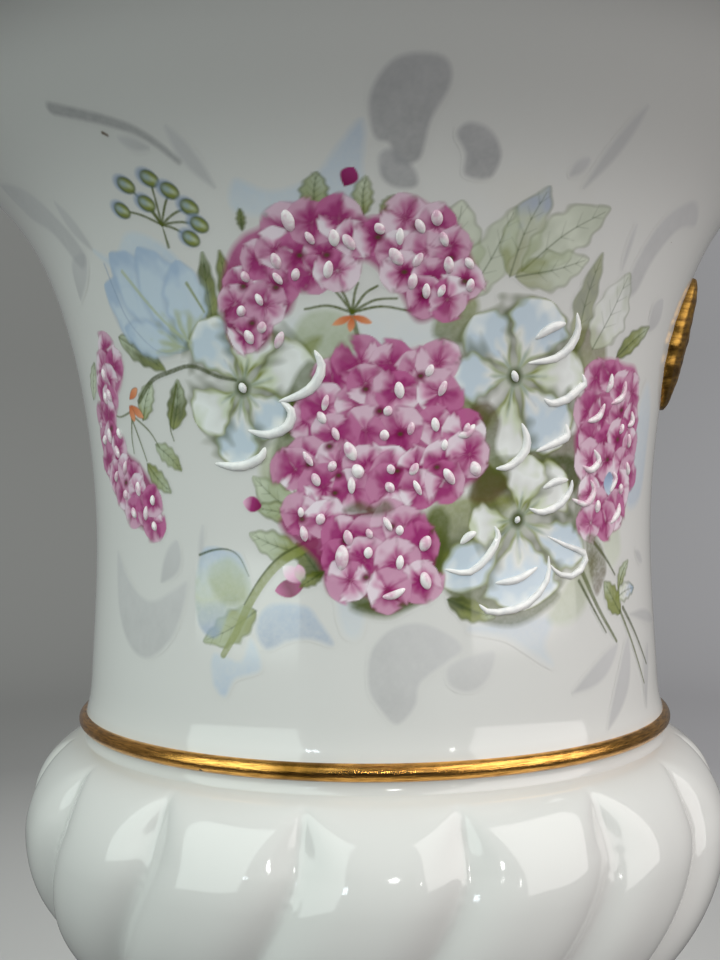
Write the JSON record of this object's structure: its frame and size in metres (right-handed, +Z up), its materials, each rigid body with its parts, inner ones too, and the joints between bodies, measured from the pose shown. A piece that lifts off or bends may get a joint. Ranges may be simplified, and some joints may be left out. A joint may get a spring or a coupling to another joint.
{
  "type": "porcelain urn vase",
  "caption": "Bell-shaped porcelain urn with a lobed belly, gilt hoops and leaf ornaments, bolted to a round foot on a square plinth.",
  "frame": {"origin": "on the urn's axis, on the surface that it stands on", "axes": "+Z up along the axis; -Y is the painted front; the two gilt ornaments are on +X and -X"},
  "size_m": [0.2024, 0.2024, 0.2785],
  "materials": {
    "porcelain": "high gloss glaze",
    "gilding": "brushed gold, satin",
    "cork": "matt cork sheet",
    "steel": "zinc plated"
  },
  "bodies": {
    "root": {"body": "porcelain", "foot": "porcelain", "plinth": "porcelain", "waist_bead": "gilding", "stem_bead": "gilding", "foot_hoop": "gilding", "left_ornament": "gilding", "right_ornament": "gilding", "seat_gasket": "cork", "upper_gasket": "cork", "lower_gasket": "cork", "tie_bolt": "steel", "nut": "steel", "upper_washer": "steel", "lower_washer": "steel"}
  },
  "joints": []
}
